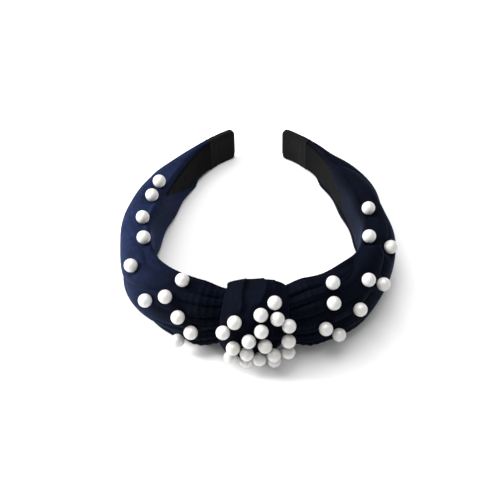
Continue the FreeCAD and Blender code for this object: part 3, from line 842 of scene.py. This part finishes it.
def plain_finish(name, dark, light, scale, roughness, metallic=0.0):
    """Hidden or hard piece: two close tones, uneven gloss and a little grain."""
    finish = Finish(name)
    grain = finish.noise(finish.object_place(), scale, 3.0)
    colour = finish.ramp(grain, [(0.3, dark), (0.7, light)])
    finish.set(Base_Color=colour, Roughness=roughness + grain * 0.15, Metallic=metallic)
    finish.bump(grain, 0.2, 0.0002)
    return finish.material


ribbon_cloth, tip_cloth, pearl = ribbon_finish(), tip_finish(), pearl_finish()
hoop_plastic = plain_finish("hoop_plastic", (0.010, 0.010, 0.011), (0.020, 0.020, 0.022), 700.0, 0.4)
foam = plain_finish("foam_padding", (0.55, 0.53, 0.48), (0.78, 0.76, 0.71), 1500.0, 0.85)
steel = plain_finish("rivet_steel", (0.42, 0.42, 0.43), (0.60, 0.60, 0.61), 900.0, 0.3, 1.0)
thread = plain_finish("sewing_thread", (0.004, 0.006, 0.014), (0.012, 0.018, 0.042), 2400.0, 0.6)

for piece, finish in [(knot, velvet)] + [(wing, velvet) for wing in wings.values()]:
    piece.data.materials.append(finish)
for side in (LEFT, RIGHT):
    ribbons[side].data.materials.append(ribbon_cloth)
    tips[side].data.materials.append(tip_cloth)

HIDDEN = {"hoop": hoop_plastic, "padding": foam, "rivets": steel, "stitches": thread, "velvet": velvet,
          "lining": ribbon_cloth, "tip_wrap": tip_cloth, "pearls": pearl}
for name, node in frame["nodes"].items():
    node.data.materials.clear()
    node.data.materials.append(next(HIDDEN[ending] for ending in HIDDEN if name.endswith(ending)))
print("finishes", sorted(material.name for material in set(HIDDEN.values())))

# %% [markdown]
# The pearl finish is ready, so the node tree can now put a ball on every centre.

# %% Grow the beads
beads_tree = bead_tree(pearl)
bead_sets = {}
for name, centres in BEADS.items():
    ball = {"Bead radius": BEAD_RADIUS * MM, "Segments": 32}
    bead_sets[name] = grow(name + "_beads", centres, beads_tree, ball)
    print(name, "beads", len(bead_sets[name].data.polygons), "faces")

# %% [markdown]
# ## Stitches behind the knot
# The strap is closed behind with a row of short doubled threads.  A node tree lays one curved
# stitch on each point along the seam.

# %% Stitches
def stitch_tree(finish):
    inputs = [(label, "NodeSocketFloat") for label in ("Stitch length", "Thread radius", "Slant")]
    tree, start, end = open_tree("stitches_on_points", inputs)
    arc = tree.nodes.new("GeometryNodeCurvePrimitiveLine")
    arc.mode = "DIRECTION"
    arc.inputs["Start"].default_value = (0, 0, 0)
    arc.inputs["Direction"].default_value = (1, 0, 0)
    cut = tree.nodes.new("GeometryNodeResampleCurve")
    cut.inputs["Count"].default_value = 9
    spline = tree.nodes.new("GeometryNodeSplineParameter")
    bow = tree.nodes.new("ShaderNodeMath")
    bow.operation = "PINGPONG"
    bow.inputs[1].default_value = 0.5
    rise = tree.nodes.new("ShaderNodeMath")
    rise.operation = "MULTIPLY"
    rise.inputs[1].default_value = 0.0009
    lift = tree.nodes.new("ShaderNodeCombineXYZ")
    shift = tree.nodes.new("GeometryNodeSetPosition")
    profile = tree.nodes.new("GeometryNodeCurvePrimitiveCircle")
    profile.inputs["Resolution"].default_value = 8
    skin = tree.nodes.new("GeometryNodeCurveToMesh")
    skin.inputs["Fill Caps"].default_value = True
    centre = tree.nodes.new("GeometryNodeTransform")
    half = tree.nodes.new("ShaderNodeMath")
    half.operation = "MULTIPLY"
    half.inputs[1].default_value = -0.5
    back = tree.nodes.new("ShaderNodeCombineXYZ")
    dots = tree.nodes.new("GeometryNodeMeshToPoints")
    lay = tree.nodes.new("GeometryNodeInstanceOnPoints")
    lean = tree.nodes.new("ShaderNodeCombineXYZ")
    real = tree.nodes.new("GeometryNodeRealizeInstances")
    paint = tree.nodes.new("GeometryNodeSetMaterial")
    paint.inputs["Material"].default_value = finish
    join(tree,
         (start, "Stitch length", arc, "Length"),
         (arc, "Curve", cut, "Curve"),
         (spline, "Factor", bow, 0),
         (bow, 0, rise, 0),
         (rise, 0, lift, "Y"),
         (cut, "Curve", shift, "Geometry"),
         (lift, 0, shift, "Offset"),
         (start, "Thread radius", profile, "Radius"),
         (shift, "Geometry", skin, "Curve"),
         (profile, "Curve", skin, "Profile Curve"),
         (start, "Stitch length", half, 0),
         (half, 0, back, "X"),
         (skin, "Mesh", centre, "Geometry"),
         (back, 0, centre, "Translation"),
         (start, "Geometry", dots, "Mesh"),
         (dots, "Points", lay, "Points"),
         (centre, "Geometry", lay, "Instance"),
         (start, "Slant", lean, "Y"),
         (lean, 0, lay, "Rotation"),
         (lay, "Instances", real, "Geometry"),
         (real, "Geometry", paint, "Geometry"),
         (paint, "Geometry", end, "Geometry"))
    return tree


SEAM_STITCHES = 13
STITCH = {"Stitch length": 4.0 * MM, "Thread radius": 0.3 * MM, "Slant": 0.5}
seam_levels = np.linspace(-12.0, 12.0, SEAM_STITCHES)
seam_points = place(np.zeros(SEAM_STITCHES), np.full(SEAM_STITCHES, KNOT_BACK - 0.1), seam_levels)
stitches = grow("seam_stitches", seam_points, stitch_tree(thread), STITCH)
print("stitches", len(seam_points))

# %% [markdown]
# ## Tie the pieces to the moving frame
# Beads, knot and tips ride rigidly.  Velvet and ribbon cross the line where an arm flexes; they are
# left where they lie and tied to neither the crown nor the arm.

# %% Ride and replace
def flex_span(side):
    """Start and end, in the row frame, of the stretch of cloth that crosses where an arm flexes."""
    ends = np.array([side * (FLEX - 6.0), side * (FLEX + 5.5)])
    first, last = place(ends, np.array([6.0, 6.0]), np.zeros(2))
    return tuple(first), tuple(last)


for side in (LEFT, RIGHT):
    arm = SIDES[side]
    first, last = flex_span(side)
    for piece in (wings[side], ribbons[side]):
        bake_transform(piece)
    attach(tips[side], arm + "_arm")
    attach(bead_sets[arm], arm + "_arm")
    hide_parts(arm + "_velvet", arm + "_padding")
    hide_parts(arm + "_lining")
    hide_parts(arm + "_tip_wrap")
    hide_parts(arm + "_pearls", arm + "_rivets")
    ribbon_length = WRAP_START - RIBBON_START
    ribbon_length * MM
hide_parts("centre_velvet", "centre_padding")
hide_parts("centre_lining")
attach(knot, "crown")
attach(bead_sets["knot"], "crown")
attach(stitches, "crown")
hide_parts("knot_velvet", "knot_padding")
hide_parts("knot_pearls", "knot_rivets")
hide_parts("loop_stitches")
print("flat ribbon", RIBBON_WIDTH, "by", round(ribbon_length, 1), "mm")

# %% [markdown]
# ## Table, light and camera
# The band lies on a pale table.  A large soft light from the left rakes over the pile, a weaker
# one from above keeps the beads round, and a pale sky fills the rest.

# %% Table
bpy.ops.mesh.primitive_plane_add(size=8.0, location=(0, 0, 0))
table = bpy.context.object
table.name = "table"
table_finish = Finish("pale_table")
speckle = table_finish.noise(table_finish.object_place(), 3.0, 2.0)
pale = table_finish.ramp(speckle, [(0.3, (0.86, 0.86, 0.86)), (0.7, (0.88, 0.88, 0.88))])
table_finish.set(Base_Color=pale, Roughness=0.9)
table.data.materials.append(table_finish.material)
print("table", table_finish.material.name)

# %% [markdown]
# Each lamp is a square that faces the band.  A larger one gives softer shadows.

# %% Lights
def soft_light(name, place_at, aim, size, power, colour=(1, 1, 1)):
    lamp = bpy.data.lights.new(name, "AREA")
    lamp.size, lamp.energy, lamp.color = size, power, colour
    thing = bpy.data.objects.new(name, lamp)
    bpy.context.scene.collection.objects.link(thing)
    thing.location = place_at
    thing.rotation_euler = (Vector(aim) - Vector(place_at)).to_track_quat("-Z", "Y").to_euler()
    return thing


soft_light("key", (-0.95, 0.10, 0.50), (-0.03, 0, 0.02), 0.45, 24.0)
soft_light("top", (-0.10, 0.15, 1.30), (0, 0, 0.02), 1.1, 18.0)
sky = bpy.data.worlds.new("pale_sky")
bpy.context.scene.world = sky
sky.use_nodes = True
sky.node_tree.nodes["Background"].inputs["Color"].default_value = (1, 1, 1, 1)
sky.node_tree.nodes["Background"].inputs["Strength"].default_value = 0.50
bpy.context.scene.view_settings.view_transform = "Standard"
print("lamps", len(bpy.data.lights))

# %% [markdown]
# The camera stands in front of the knot and looks down on it through a long lens.  It is placed by
# two angles and a distance, then rolled a little, and its lens is shifted off its centre.

# %% Camera
AIM = Vector((0, 0, 0.012))
ELEVATION, AZIMUTH, ROLL = math.radians(47.4), math.radians(1.43), math.radians(-1.06)
DISTANCE, LENS = 0.7177, 83.6
SHIFT_X, SHIFT_Y = -0.0142, -0.0466
level = math.cos(ELEVATION)
away = Vector((math.sin(AZIMUTH) * level, -math.cos(AZIMUTH) * level, math.sin(ELEVATION)))
lens = bpy.data.cameras.new("camera")
lens.lens, lens.sensor_width = LENS, 36.0
lens.shift_x, lens.shift_y = SHIFT_X, SHIFT_Y
camera = bpy.data.objects.new("camera", lens)
bpy.context.scene.collection.objects.link(camera)
forward = -away
right = forward.cross(Vector((0, 0, 1))).normalized()
up = right.cross(forward)
rolled_right = right * math.cos(ROLL) + up * math.sin(ROLL)
rolled_up = up * math.cos(ROLL) - right * math.sin(ROLL)
turned = Matrix((rolled_right, rolled_up, -forward)).transposed()
camera.matrix_world = Matrix.Translation(AIM + away * DISTANCE) @ turned.to_4x4()
bpy.context.scene.camera = camera
print("camera", [round(number, 3) for number in camera.matrix_world.translation])

# %% The end
bpy.context.view_layer.update()
